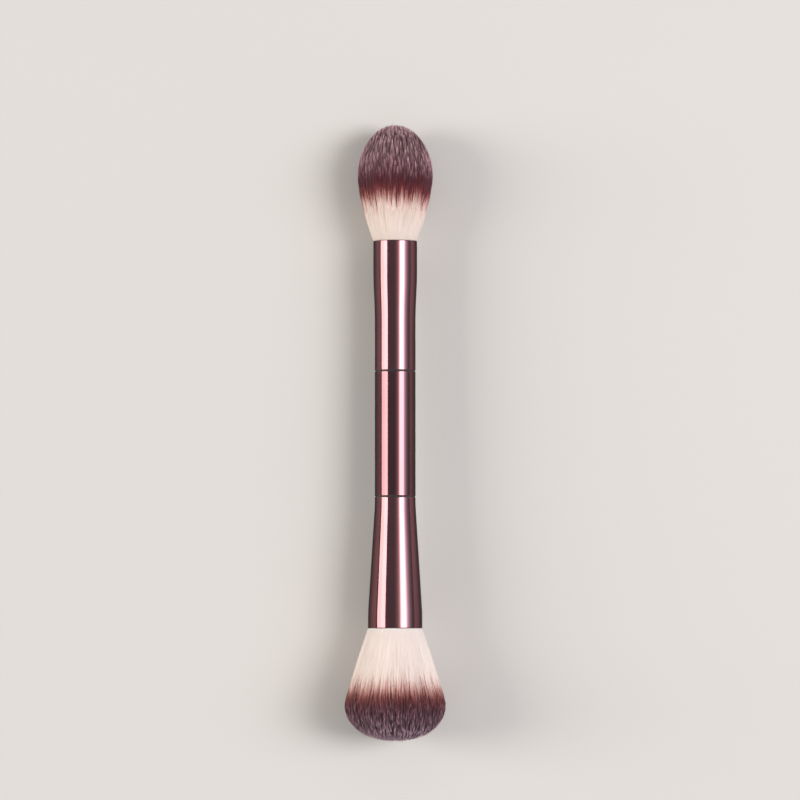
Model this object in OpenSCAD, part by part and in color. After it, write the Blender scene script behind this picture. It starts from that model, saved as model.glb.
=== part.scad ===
// Double ended makeup brush. Two metal ferrules are joined to a centre tube, and each holds
// a tuft of two-tone fibres: a pointed one at +X and a domed one at -X.
// The brush lies as it comes to rest, on the small flats that its weight presses into the tufts.
// Each end is described from its seam with the tube outwards, and each tuft from its ferrule's
// mouth outwards. All sizes are in millimetres.

/* [Centre tube] */
// Length of the centre tube
tube_len = 36; // [24:0.5:60]
// Outside diameter of the tube, and of each ferrule where it meets the tube
tube_d = 11.8; // [10:0.1:12.4]
// Wall of the tube
tube_wall = 0.9; // [0.6:0.1:1.4]
// Chamfer on the tube's outer edges
tube_chamfer = 0.15; // [0.05:0.05:0.4]
// Width of the open seam between the tube and each ferrule
seam_gap = 0.3; // [0.2:0.05:0.8]

/* [Ferrules] */
// Wall of both ferrules, which their mouths end in as a round edge
ferrule_wall = 0.45; // [0.35:0.05:0.8]
// Length of the ferrule at the pointed end
pointed_ferrule_len = 37.5; // [32:0.5:50]
// Outside diameter of that ferrule at its mouth
pointed_mouth_d = 12.7; // [11.5:0.1:16]
// Length of its straight stretch behind the mouth
pointed_mouth_band = 8; // [2:0.5:10]
// Length of its straight stretch at the seam
pointed_seam_band = 13.5; // [0.5:0.5:15]
// Share of the taper between them that each of its two easing curves takes
pointed_ease = 0.45; // [0.05:0.05:0.5]
// Length of the ferrule at the domed end
domed_ferrule_len = 37.8; // [32:0.2:50]
// Outside diameter of that ferrule at its mouth
domed_mouth_d = 15.7; // [13:0.1:20]
// Length of its straight stretch behind the mouth
domed_mouth_band = 2.8; // [2:0.2:10]
// Length of its straight stretch at the seam
domed_seam_band = 0.5; // [0.5:0.5:15]
// Share of the taper between them that each of its two easing curves takes
domed_ease = 0.1; // [0.05:0.05:0.5]

/* [Pointed tuft] */
// Length of the tuft outside its ferrule
pointed_tuft_len = 33.7; // [26:0.1:45]
// Diameter of the tuft at its belly
pointed_tuft_d = 22; // [17:0.5:30]
// Distance from the mouth to the belly
pointed_belly = 19.1; // [12:0.1:22]
// Exponent of the flare's curve: 1 is straight and 2 is round
pointed_flare = 1.75; // [1:0.05:2.5]
// Exponent of the crown's curve: 2 is an ellipse, and less is more pointed
pointed_crown = 1.85; // [1.4:0.05:2.6]

/* [Domed tuft] */
// Length of the tuft outside its ferrule
domed_tuft_len = 32.4; // [26:0.1:45]
// Diameter of the tuft at its belly
domed_tuft_d = 29.4; // [20:0.2:38]
// Distance from the mouth to the belly
domed_belly = 21.9; // [12:0.1:23]
// Exponent of the flare's curve: 1 is straight and 2 is round
domed_flare = 1.2; // [1:0.05:2.5]
// Exponent of the crown's curve: 2 is an ellipse, and less is more pointed
domed_crown = 2.05; // [1.4:0.05:2.6]

/* [Fibres] */
// Number of fibre locks round each tuft
locks = 48; // [24:4:60]
// Depth of the grooves between the locks
lock_depth = 0.25; // [0:0.05:0.4]
// Depth of the step where the tip of one lock ends on the next
tip_depth = 0.45; // [0:0.05:0.7]
// Depth to which each tuft is pressed flat where it rests
rest_press = 0.4; // [0.1:0.05:0.8]

/* [Inside] */
// Clearance between pieces that fit in one another
fit_gap = 0.04; // [0.02:0.01:0.1]
// Length of tuft held inside each ferrule
root_len = 10; // [9:0.5:12]
// Diameter of the thread that ties each tuft
thread_d = 0.5; // [0.3:0.05:0.7]
// Turns of that thread
thread_turns = 5; // [2:1:6]
// Thickness of the epoxy behind each tuft
glue_len = 4; // [2:0.5:6]
// Length of each joiner inside the tube
tube_spigot = 11; // [6:0.5:11.5]
// Length of each joiner inside its ferrule
ferrule_spigot = 13; // [8:0.5:14]
// Depth of each joiner's collar below the surface, which is the dark line of the seam
collar_depth = 0.2; // [0.1:0.05:0.3]
// Bore that cores out each joiner
joiner_bore = 5.5; // [3:0.25:6]
// Number of crush ribs on the joiner's tube end
crush_ribs = 6; // [3:1:10]

/* [Hidden] */
$fn = 96;
// How far a cutting shape runs past what it cuts
past = 1;
// Straight pieces that draw each ferrule's taper
taper_steps = 14;
// Each joiner's crush ribs, glue grooves, lead-in chamfers and the floor of its bore
rib_height = 0.15;
rib_width = 0.8;
groove_depth = 0.25;
groove_width = 1.2;
groove_pitch = 3.5;
lead_in = 0.8;
bore_floor = 2.5;
// The root of each tuft is slimmer by this, and epoxy rises round it by this
root_slim = 0.45;
glue_rise = 1.5;
// From the root's end to the first turn of thread, and from each turn to the next. They press
// into one another and so lie closer than the thread is thick.
tie_from_end = 2.2;
turn_pitch = 0.92 * thread_d;
// Rings of points on each tuft's flare and crown. The flare's crowd towards the belly.
flare_rings = 7;
crown_rings = 18;
crowding = 0.4;
// The tips of a lock lie this many rings apart, from this share of the flare onwards
tip_rings = 5;
tips_from = 0.5;
// How far a lock strays sideways, as a share of its width
lock_stray = 0.3;
// Closer to the axis than this the relief fades out, so that the crown closes
fade_r = 5;

// Places along the brush's own axis, from the middle of its length towards the pointed tuft
brush_len = domed_tuft_len + domed_ferrule_len + tube_len + pointed_ferrule_len
            + pointed_tuft_len + 2 * seam_gap;
domed_mouth_at = domed_tuft_len - brush_len / 2;
domed_seam_at = domed_mouth_at + domed_ferrule_len;
tube_at = domed_seam_at + seam_gap;
pointed_seam_at = tube_at + tube_len + seam_gap;
pointed_mouth_at = pointed_seam_at + pointed_ferrule_len;

// The axis leans until both bellies meet the table
domed_belly_at = domed_mouth_at - domed_belly;
pointed_belly_at = pointed_mouth_at + pointed_belly;
lean = atan((domed_tuft_d - pointed_tuft_d) / 2 / (pointed_belly_at - domed_belly_at));
axis_height = domed_tuft_d / 2 * cos(lean) + domed_belly_at * sin(lean) - rest_press;

// From 0 to 1 as u does, straight in the middle and eased at both ends
function eased(u, share) =
    u <= 0 ? 0
    : u >= 1 ? 1
    : u < share ? u * u / (2 * share * (1 - share))
    : u < 1 - share ? (u - share / 2) / (1 - share)
    : 1 - (1 - u) * (1 - u) / (2 * share * (1 - share));

// A ferrule's outside radius at distance d from its seam
function ferrule_r(d, len, mouth_d, mouth_band, seam_band, ease) =
    let (taper = len - mouth_band - seam_band)
    (tube_d + (mouth_d - tube_d) * eased((d - seam_band) / taper, ease)) / 2;

pointed_r = function (d)
    ferrule_r(d, pointed_ferrule_len, pointed_mouth_d, pointed_mouth_band, pointed_seam_band,
              pointed_ease);
domed_r = function (d)
    ferrule_r(d, domed_ferrule_len, domed_mouth_d, domed_mouth_band, domed_seam_band,
              domed_ease);

// A tuft's radius at distance t past the mouth: a flare up to the belly, then a crown
function tuft_r(t, mouth_r, belly_r, belly, len, flare, crown) =
    t < belly
    ? mouth_r + (belly_r - mouth_r) * (1 - pow(1 - t / belly, flare))
    : let (u = min((t - belly) / (len - belly), 1))
      belly_r * pow(1 - pow(u, crown), 1 / crown);

pointed_tuft_r = function (t)
    tuft_r(t, pointed_mouth_d / 2, pointed_tuft_d / 2, pointed_belly, pointed_tuft_len,
           pointed_flare, pointed_crown);
domed_tuft_r = function (t)
    tuft_r(t, domed_mouth_d / 2, domed_tuft_d / 2, domed_belly, domed_tuft_len,
           domed_flare, domed_crown);

// The tuft's radius inside its ferrule, and where the thread pulls it in
function root_r(d, outer) = outer(d) - ferrule_wall - fit_gap;
function tied_r(len, outer) = root_r(len - root_len, outer) - thread_d - 3 * fit_gap;
function tie_start(len) = len - root_len + tie_from_end;
function tie_end(len) = tie_start(len) + (thread_turns - 1) * turn_pitch + thread_d;

// Where a point on the brush's own axes comes to lie on the table
function laid_point(p) =
    [p.z * cos(lean) - p.x * sin(lean), p.y, axis_height - p.x * cos(lean) - p.z * sin(lean)];

module laid() {
    translate([0, 0, axis_height]) rotate([0, 90 + lean, 0]) children();
}

// Each end's own frame, where z runs outwards from its seam
module at_pointed_end() {
    laid() translate([0, 0, pointed_seam_at]) children();
}

module at_domed_end() {
    laid() translate([0, 0, domed_seam_at]) rotate([180, 0, 0]) children();
}

// A drawn sleeve whose mouth is a round edge
module ferrule(len, mouth_band, seam_band, outer) {
    bead = ferrule_wall / 2;
    taper = len - mouth_band - seam_band;
    stations = [0, for (i = [0 : taper_steps]) seam_band + taper * i / taper_steps, len - bead];
    inward = [for (i = [len(stations) - 1 : -1 : 0]) stations[i]];
    rotate_extrude() {
        polygon([for (d = stations) [outer(d), d],
                 for (d = inward) [outer(d) - ferrule_wall, d]]);
        translate([outer(len) - bead, len - bead]) circle(bead);
    }
}

// The moulded plug that joins a ferrule to the tube. Its collar shows as the dark seam.
module joiner() {
    collar_r = tube_d / 2 - collar_depth;
    spigot_r = tube_d / 2 - ferrule_wall - fit_gap;
    ribbed_r = tube_d / 2 - tube_wall - fit_gap;
    plain_r = ribbed_r - rib_height;
    tube_end = -seam_gap - tube_spigot;
    difference() {
        union() {
            rotate_extrude() polygon([
                [0, ferrule_spigot],
                [spigot_r - lead_in, ferrule_spigot],
                [spigot_r, ferrule_spigot - lead_in],
                [spigot_r, 0],
                [collar_r, 0],
                [collar_r, -seam_gap],
                [plain_r, -seam_gap],
                [plain_r, tube_end + lead_in],
                [plain_r - lead_in, tube_end],
                [0, tube_end]]);
            intersection() {
                translate([0, 0, tube_end + lead_in])
                    cylinder(r = ribbed_r, h = tube_spigot - lead_in);
                for (i = [0 : crush_ribs - 1])
                    rotate(i * 360 / crush_ribs)
                        translate([0, -rib_width / 2, tube_end])
                            cube([tube_d, rib_width, tube_spigot]);
            }
        }
        translate([0, 0, tube_end + bore_floor])
            cylinder(d = joiner_bore, h = tube_spigot + ferrule_spigot + past);
        for (d = [groove_pitch : groove_pitch : ferrule_spigot - lead_in - groove_width])
            rotate_extrude()
                translate([spigot_r - groove_depth, d]) square([past, groove_width]);
    }
}

// Thread wound tightly round the root of a tuft, drawn as closed turns
module tie(len, outer) {
    rotate_extrude()
        for (i = [0 : thread_turns - 1])
            translate([tied_r(len, outer) + thread_d / 2 + fit_gap,
                       tie_start(len) + thread_d / 2 + i * turn_pitch])
                circle(d = thread_d);
}

// The epoxy behind a tuft, which rises as a rim round the ends of its fibres
module glue(len, outer) {
    front = len - root_len;
    back = front - glue_len;
    rim_r = root_r(front, outer);
    fibre_r = rim_r - root_slim + fit_gap;
    rotate_extrude() polygon([
        [0, back],
        [root_r(back, outer), back],
        [rim_r, front],
        [rim_r, front + glue_rise],
        [fibre_r, front + glue_rise],
        [fibre_r, front],
        [0, front]]);
}

// A tuft as one closed skin of fibre locks. It has a ring of points at each station along the
// root, the flare and the crown. Even points lie on a lock's ridge, and odd ones in a groove.
module tuft(len, outer, mouth_at, way, belly, tuft_len, envelope, seed) {
    sides = 2 * locks;
    slim_r = root_r(len - root_len, outer) - root_slim;
    neck_r = tied_r(len, outer);
    step_in = thread_d / 2;
    // Stations are [distance past the mouth, radius]
    root = [[-root_len, slim_r],
            [tie_start(len) - len - step_in, slim_r],
            [tie_start(len) - len, neck_r],
            [tie_end(len) - len, neck_r],
            [tie_end(len) - len + step_in, root_r(tie_end(len) + step_in, outer)],
            [0, root_r(len, outer)]];
    flare = [for (i = [0 : flare_rings - 1])
        let (x = i / flare_rings,
             t = ferrule_wall + (belly - ferrule_wall) * x * (1 + crowding - crowding * x))
        [t, envelope(t)]];
    crown = [for (i = [0 : crown_rings - 1])
        let (t = belly + (tuft_len - belly) * sin(90 * i / crown_rings)) [t, envelope(t)]];
    stations = concat(root, flare, crown);
    rings = len(stations);
    // Each lock has its own length, thickness and place
    stagger = rands(0, tip_rings, locks, seed);
    thickness = rands(0.5, 1, locks, seed + 1);
    stray = rands(-lock_stray, lock_stray, locks, seed + 2);

    // How far the tips of lock j step down at station k, and how deep its groove is there
    function tip_step(k, j) =
        let (grown = (stations[k][0] / belly - tips_from) / (1 - tips_from),
             phase = (k + floor(stagger[j])) % tip_rings)
        min(max(grown, 0), 1) * tip_depth * thickness[j] * (1 - phase / (tip_rings - 1));
    function groove(k, j) =
        lock_depth * thickness[j] * min(max(stations[k][0] / belly, 0), 1);
    function relief(k, i) =
        let (j = floor(i / 2), next = (j + 1) % locks)
        min(stations[k][1] / fade_r, 1)
        * (i % 2 == 0 ? tip_step(k, j) : groove(k, j) + max(tip_step(k, j), tip_step(k, next)));
    // A depth goes in towards the axis on the flare, and towards the belly's middle beyond
    function skin_point(k, i, depth) =
        let (t = stations[k][0],
             r = stations[k][1],
             dome = max(t - belly, 0),
             kept = 1 - depth / norm([r, dome]),
             a = (i + stray[floor(i / 2)] * min(max(t / belly, 0), 1)) * 360 / sides)
        laid_point([r * kept * cos(a), way * r * kept * sin(a),
                    mouth_at + way * (t - dome * (1 - kept))]);
    // Where the tuft would reach below the table, it lies flat on it and has no relief
    function pressed_point(k, i) =
        let (p = skin_point(k, i, relief(k, i)), outermost = skin_point(k, i, 0))
        [p.x, p.y, outermost.z < 0 ? 0 : max(p.z, 0)];

    points = [
        for (k = [0 : rings - 1]) for (i = [0 : sides - 1]) pressed_point(k, i),
        laid_point([0, 0, mouth_at - way * root_len]),
        laid_point([0, 0, mouth_at + way * tuft_len])];
    root_middle = rings * sides;
    crown_middle = root_middle + 1;
    function at(k, i) = k * sides + i % sides;
    faces = [
        for (k = [0 : rings - 2]) for (i = [0 : sides - 1])
            each [[at(k, i), at(k + 1, i), at(k + 1, i + 1)],
                  [at(k, i), at(k + 1, i + 1), at(k, i + 1)]],
        for (i = [0 : sides - 1]) [root_middle, at(0, i), at(0, i + 1)],
        for (i = [0 : sides - 1]) [crown_middle, at(rings - 1, i + 1), at(rings - 1, i)]];
    polyhedron(points, faces);
}

module handle_tube() {
    r = tube_d / 2;
    c = tube_chamfer;
    color("#4f3237")
        laid() translate([0, 0, tube_at]) rotate_extrude() polygon([
            [r - tube_wall, 0],
            [r - c, 0],
            [r, c],
            [r, tube_len - c],
            [r - c, tube_len],
            [r - tube_wall, tube_len]]);
}

module pointed_ferrule() {
    color("#5a3d40")
        at_pointed_end()
            ferrule(pointed_ferrule_len, pointed_mouth_band, pointed_seam_band, pointed_r);
}

module domed_ferrule() {
    color("#5a3d40")
        at_domed_end() ferrule(domed_ferrule_len, domed_mouth_band, domed_seam_band, domed_r);
}

module pointed_joiner() {
    color("#1b1718") at_pointed_end() joiner();
}

module domed_joiner() {
    color("#1b1718") at_domed_end() joiner();
}

module pointed_tuft() {
    color("#7b5e63")
        tuft(pointed_ferrule_len, pointed_r, pointed_mouth_at, 1, pointed_belly,
             pointed_tuft_len, pointed_tuft_r, 11);
}

module domed_tuft() {
    color("#f0dcd2")
        tuft(domed_ferrule_len, domed_r, domed_mouth_at, -1, domed_belly,
             domed_tuft_len, domed_tuft_r, 23);
}

module pointed_tie() {
    color("#d9d2c4") at_pointed_end() tie(pointed_ferrule_len, pointed_r);
}

module domed_tie() {
    color("#d9d2c4") at_domed_end() tie(domed_ferrule_len, domed_r);
}

module pointed_glue() {
    color("#c9a86a") at_pointed_end() glue(pointed_ferrule_len, pointed_r);
}

module domed_glue() {
    color("#c9a86a") at_domed_end() glue(domed_ferrule_len, domed_r);
}

handle_tube();
pointed_ferrule();
domed_ferrule();
pointed_joiner();
domed_joiner();
pointed_tuft();
domed_tuft();
pointed_tie();
domed_tie();
pointed_glue();
domed_glue();
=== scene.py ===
"""Double ended makeup brush: a glossy anodised handle with a pointed and a domed tuft of dyed
nylon fibres. Every piece is made in metres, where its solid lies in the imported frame."""

import math

import bmesh
import bpy
import numpy as np
from bpy.props import FloatProperty, FloatVectorProperty, IntProperty, PointerProperty
from bpy.types import Operator, Panel, PropertyGroup
from mathutils import Matrix, Vector


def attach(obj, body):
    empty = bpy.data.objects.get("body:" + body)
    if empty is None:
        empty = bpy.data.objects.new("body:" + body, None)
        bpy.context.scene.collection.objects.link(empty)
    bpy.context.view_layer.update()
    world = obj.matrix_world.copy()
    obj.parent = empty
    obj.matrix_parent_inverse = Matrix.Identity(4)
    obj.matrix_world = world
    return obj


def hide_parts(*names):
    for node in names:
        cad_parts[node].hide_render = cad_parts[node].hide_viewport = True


bl_info = {
    "name": "Double Ended Makeup Brush",
    "version": (1, 0, 0),
    "blender": (4, 5, 0),
    "location": "View3D > Sidebar > Brush",
    "description": "Builds the metal handle, the two fibre tufts and the stage of a makeup brush",
    "category": "Object",
}

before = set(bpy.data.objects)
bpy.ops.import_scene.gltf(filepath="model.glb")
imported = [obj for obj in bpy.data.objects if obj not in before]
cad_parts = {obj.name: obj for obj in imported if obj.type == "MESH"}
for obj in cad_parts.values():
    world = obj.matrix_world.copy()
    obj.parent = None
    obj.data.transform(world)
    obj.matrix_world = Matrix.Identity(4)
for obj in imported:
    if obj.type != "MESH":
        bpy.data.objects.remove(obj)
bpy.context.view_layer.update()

MM = 0.001
BAKE_MAP = "OFBake"  # the tufts' own map, which their materials read
FIBRE_GAP = 0.1 * MM  # from a ferrule's wall to the outermost fibres in it


def linear(code):
    """An sRGB hex value such as #4f3237 as linear red, green, blue and alpha."""
    parts = [int(code[i : i + 2], 16) / 255 for i in (1, 3, 5)]
    return (*[p / 12.92 if p <= 0.04045 else ((p + 0.055) / 1.055) ** 2.4 for p in parts], 1.0)


def size(name, description, value, least=0.0):
    """A length setting. Its value and its least value are given in millimetres."""
    return FloatProperty(
        name=name,
        description=description,
        default=value * MM,
        min=least * MM,
        unit="LENGTH",
        precision=5,
    )


def share(name, description, value, most=1.0):
    """A plain number without a unit."""
    return FloatProperty(name=name, description=description, default=value, min=0.0, max=most)


def colour(name, description, code):
    """A colour setting from an sRGB hex value."""
    return FloatVectorProperty(
        name=name,
        description=description,
        subtype="COLOR",
        size=4,
        min=0.0,
        max=1.0,
        default=linear(code),
    )


class MetalSettings(PropertyGroup):
    """Sizes and colours of the centre tube and the ferrules."""

    tube_length: size("Tube length", "Length of the centre tube", 36)
    tube_diameter: size("Tube diameter", "Outside diameter of the tube and of each seam", 11.8)
    tube_wall: size("Tube wall", "Wall of the centre tube", 0.9)
    ferrule_wall: size("Ferrule wall", "Wall of both ferrules", 0.45)
    seam: size("Seam", "Width of the open seam between the tube and each ferrule", 0.3)
    edge: size("Seam edge", "Rounding of the metal's edges at the seams", 0.12)
    tube_colour: colour("Tube", "Anodised colour of the centre tube", "#623d43")
    ferrule_colour: colour("Ferrules", "Anodised colour of the ferrules", "#724a50")
    worn: colour("Worn edge", "Colour where handling has thinned the anodising", "#a98a88")


class PointedEnd(PropertyGroup):
    """Sizes of the pointed tuft and its ferrule."""

    ferrule: size("Ferrule length", "From the seam to the mouth", 37.5)
    mouth: size("Mouth diameter", "Outside diameter of the ferrule's mouth", 12.7)
    mouth_band: size("Mouth band", "Straight stretch behind the mouth", 8)
    seam_band: size("Seam band", "Straight stretch at the seam", 13.5)
    ease: share("Ease", "Share of the taper that each of its easing curves takes", 0.45)
    length: size("Tuft length", "From the mouth to the tip", 33.7)
    diameter: size("Tuft diameter", "Thickest part of the tuft", 22)
    belly: size("Belly", "From the mouth to the thickest part", 19.1)
    flare: share("Flare", "Exponent of the curve up to the belly", 1.75, 3)
    crown: share("Crown", "Exponent of the curve beyond the belly", 1.85, 3)
    closing: share("Closing", "How far the fibres curve back towards the axis", 0.5)
    clump_width: size("Clump width", "Width of a group of fibres that cling together", 0.9)
    clump_length: size("Clump length", "From one such group's end to the next one's", 1.25)
    dye_rag: size("Dye rag", "How far the dye line varies between fibres", 2.6)
    dye_side: size("Dye side", "How much nearer the mouth dye reaches at the sides", 1.6, -10)


class DomedEnd(PropertyGroup):
    """Sizes of the domed tuft and its ferrule."""

    ferrule: size("Ferrule length", "From the seam to the mouth", 37.8)
    mouth: size("Mouth diameter", "Outside diameter of the ferrule's mouth", 15.7)
    mouth_band: size("Mouth band", "Straight stretch behind the mouth", 2.8)
    seam_band: size("Seam band", "Straight stretch at the seam", 0.5)
    ease: share("Ease", "Share of the taper that each of its easing curves takes", 0.1)
    length: size("Tuft length", "From the mouth to the tip", 32.4)
    diameter: size("Tuft diameter", "Thickest part of the tuft", 29.4)
    belly: size("Belly", "From the mouth to the thickest part", 21.9)
    flare: share("Flare", "Exponent of the curve up to the belly", 1.2, 3)
    crown: share("Crown", "Exponent of the curve beyond the belly", 2.05, 3)
    closing: share("Closing", "How far the fibres curve back towards the axis", 0.3)
    clump_width: size("Clump width", "Width of a group of fibres that cling together", 0.8)
    clump_length: size("Clump length", "From one such group's end to the next one's", 1.05)
    dye_rag: size("Dye rag", "How far the dye line varies between fibres", 2.2)
    dye_side: size("Dye side", "How much nearer the mouth dye reaches at the sides", -0.5, -10)


class FibreSettings(PropertyGroup):
    """Sizes and numbers of the fibres of both tufts."""

    per_piece: IntProperty(
        name="Fibres per piece", description="Fibres in each piece of a tuft", default=4096, min=64
    )
    pointed_pieces: IntProperty(
        name="Pointed pieces", description="Pieces of the pointed tuft", default=2, min=1
    )
    domed_pieces: IntProperty(
        name="Domed pieces", description="Pieces of the domed tuft", default=3, min=1
    )
    thickness: size("Thickness", "Thickness of a fibre", 0.16)
    unevenness: size("Unevenness", "How far most fibres end short of the shape", 0.45)
    press: size("Press", "Depth to which each tuft is pressed flat where it rests", 0.4)
    root: size("Root", "Length of the tuft inside its ferrule", 10)


class StageSettings(PropertyGroup):
    """The floor, the lamps and the camera."""

    floor: colour("Floor", "Colour of the floor", "#d3cecb")
    surround: colour("Surround", "Soft light from all around", "#a0a0a2")
    camera_distance: size("Camera distance", "From the brush to the camera", 1380)
    lamp_distance: size("Lamp distance", "From the brush to the lamps", 2600)


class End:
    """One end of the brush. Its lengths run outwards from the seam, or past the mouth."""

    def __init__(self, name, sizes, scene, seam_at, way):
        self.name, self.sizes, self.metal, self.way = name, sizes, scene.brush_metal, way
        self.seam_at = seam_at
        self.mouth_at = seam_at + way * sizes.ferrule
        self.root = scene.brush_fibres.root
        self.span = self.root + sizes.length + MM

    def ferrule_radius(self, run):
        """Outside radius of the ferrule at each distance from the seam."""
        s = self.sizes
        taper = s.ferrule - s.mouth_band - s.seam_band
        u = np.clip((np.asarray(run, float) - s.seam_band) / taper, 0, 1)
        bend = 2 * s.ease * (1 - s.ease)
        eased = np.where(
            u < s.ease,
            u * u / bend,
            np.where(u < 1 - s.ease, (u - s.ease / 2) / (1 - s.ease), 1 - (1 - u) ** 2 / bend),
        )
        return (self.metal.tube_diameter + (s.mouth - self.metal.tube_diameter) * eased) / 2

    def flare_radius(self, past):
        """Radius that each distance past the mouth has without the crown, and its place in the
        crown, from 0 at the belly to 1 at the tip."""
        s = self.sizes
        past = np.asarray(past, float)
        swell = 1 - np.clip(1 - past / s.belly, 0, 1) ** s.flare
        u = np.clip((past - s.belly) / (s.length - s.belly), 0, 1)
        return s.mouth / 2 + (s.diameter - s.mouth) / 2 * swell, u

    def tuft_radius(self, past):
        """Radius of the tuft's outline at each distance past the mouth."""
        radius, u = self.flare_radius(past)
        return radius * (1 - u**self.sizes.crown) ** (1 / self.sizes.crown)

    def fibre_radius(self, past):
        """Radius of the outermost fibres, which bend less than the crown and so end on it."""
        radius, u = self.flare_radius(past)
        inside = self.sizes.mouth / 2 - self.metal.ferrule_wall - FIBRE_GAP
        out = np.clip(np.asarray(past, float) / self.metal.ferrule_wall, 0, 1)
        return inside + (radius * (1 - self.sizes.closing * u * u) - inside) * out

    def dye_place(self, past):
        """Place on the tuft's map, from the root's end at 0 to just beyond the tip at 1."""
        return (past + self.root) / self.span


class Brush:
    """The brush's own axis, which leans a little, and what lies where along it."""

    def __init__(self, scene):
        metal, p, d = scene.brush_metal, scene.brush_pointed, scene.brush_domed
        total = d.length + d.ferrule + metal.tube_length + p.ferrule + p.length + 2 * metal.seam
        domed_seam = d.length + d.ferrule - total / 2
        self.tube_at = domed_seam + metal.seam
        pointed_seam = self.tube_at + metal.tube_length + metal.seam
        self.pointed = End("pointed", p, scene, pointed_seam, 1)
        self.domed = End("domed", d, scene, domed_seam, -1)
        bellies = (self.domed.mouth_at - d.belly, self.pointed.mouth_at + p.belly)
        self.lean = math.atan((d.diameter - p.diameter) / 2 / (bellies[1] - bellies[0]))
        height = d.diameter / 2 * math.cos(self.lean) + bellies[0] * math.sin(self.lean)
        self.middle = np.array((0.0, 0.0, height - scene.brush_fibres.press))
        self.axis = np.array((math.cos(self.lean), 0.0, -math.sin(self.lean)))
        self.up = np.array((math.sin(self.lean), 0.0, math.cos(self.lean)))
        self.side = np.array((0.0, 1.0, 0.0))

    def at(self, along, out, turn=0.0):
        """The point that far along the axis and out from it, turned round it from straight up."""
        along, out, turn = (np.asarray(v, float)[..., None] for v in (along, out, turn))
        return (
            self.middle
            + along * self.axis
            + out * (np.cos(turn) * self.up + np.sin(turn) * self.side)
        )


def add(tree, kind, inputs=None, stops=None, **settings):
    """Adds a shader node with its settings, its inputs and the stops of a ramp. An input is a
    value, a socket to link, or a node, of which the first output in use is linked."""
    made = tree.nodes.new(f"ShaderNode{kind}")
    for name, value in settings.items():
        setattr(made, name, value)
    for place, value in (inputs or {}).items():
        if isinstance(value, bpy.types.Node):
            value = next(output for output in value.outputs if output.enabled)
        if isinstance(value, bpy.types.NodeSocket):
            tree.links.new(value, made.inputs[place])
        else:
            made.inputs[place].default_value = value
    if stops:
        first, *between, last = stops
        elements = made.color_ramp.elements
        elements[0].position, elements[0].color = first
        elements[-1].position, elements[-1].color = last
        for position, tint in between:
            elements.new(position).color = tint
    return made


def new_material(name):
    """An empty material and its node tree."""
    material = bpy.data.materials.new(name)
    material.use_nodes = True
    material.node_tree.nodes.clear()
    return material, material.node_tree


def anodised_aluminium(name, brush, dye_colour, worn, start, end):
    """Drawn aluminium, polished, dyed mauve bronze and sealed. The draw lines make its sharp
    reflections waver a little along the sleeve, fine dust and touch marks dull them in places,
    and the edges at start and end along the axis are rubbed paler."""
    material, tree = new_material(name)
    where = add(tree, "TexCoord").outputs["Object"]
    # Turned so that X runs along the brush's axis, from the middle of this sleeve
    middle = brush.at((start + end) / 2, 0.0)
    own = add(
        tree,
        "Mapping",
        {"Vector": where, "Location": middle, "Rotation": (0, brush.lean, 0)},
        vector_type="TEXTURE",
    )
    # Draw lines 0.25 mm apart round the sleeve and 30 mm long
    drawn = add(tree, "Mapping", {"Vector": own, "Scale": (33, 4000, 4000)})
    lines = add(tree, "TexNoise", {"Vector": drawn, "Scale": 1.0, "Detail": 2.0})
    # Orange peel of the sealed dye, 1.5 mm across
    peel = add(tree, "TexNoise", {"Vector": own, "Scale": 650.0, "Detail": 1.0})
    # Touch marks, 6 mm across
    touch = add(
        tree, "TexNoise", {"Vector": own, "Scale": 160.0, "Detail": 5.0, "Roughness": 0.6}
    )
    height = add(tree, "Math", {0: lines, 1: 0.25, 2: peel}, operation="MULTIPLY_ADD")
    bump = add(tree, "Bump", {"Height": height, "Strength": 0.03, "Distance": 0.05 * MM})
    roughness = add(
        tree,
        "MapRange",
        {"Value": touch, "From Min": 0.35, "From Max": 0.7, "To Min": 0.06, "To Max": 0.12},
    )
    # The outer 0.35 mm at both ends is up to half rubbed, most where it was touched
    along = add(tree, "SeparateXYZ", {"Vector": own}).outputs["X"]
    from_middle = add(tree, "Math", {0: along}, operation="ABSOLUTE")
    half = abs(end - start) / 2
    rim = add(
        tree,
        "MapRange",
        {"Value": from_middle, "From Min": half - 0.35 * MM, "From Max": half - 0.02 * MM},
        interpolation_type="SMOOTHSTEP",
    )
    handled = add(
        tree, "MapRange", {"Value": touch, "From Min": 0.4, "From Max": 0.65, "To Max": 0.5}
    )
    rubbed = add(tree, "Math", {0: rim, 1: handled}, operation="MULTIPLY")
    # The dye takes a little unevenly, in clouds 15 mm long
    clouds = add(tree, "TexNoise", {"Vector": own, "Scale": 65.0, "Detail": 2.0})
    depth = add(
        tree,
        "MapRange",
        {"Value": clouds, "From Min": 0.3, "From Max": 0.7, "To Min": 0.92, "To Max": 1.08},
    )
    dyed = add(tree, "HueSaturation", {"Color": tuple(dye_colour), "Value": depth})
    shader = add(
        tree,
        "BsdfPrincipled",
        {
            "Base Color": add(tree, "Mix", {0: rubbed, 6: dyed, 7: tuple(worn)}, data_type="RGBA"),
            "Metallic": 1.0,
            "Roughness": roughness,
            "Normal": bump,
            "Specular Tint": linear("#4d3236"),
            "Coat Weight": 0.3,
            "Coat Roughness": 0.04,
            "Coat IOR": 1.7,
        },
    )
    add(tree, "OutputMaterial", {"Surface": shader})
    return material


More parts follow.
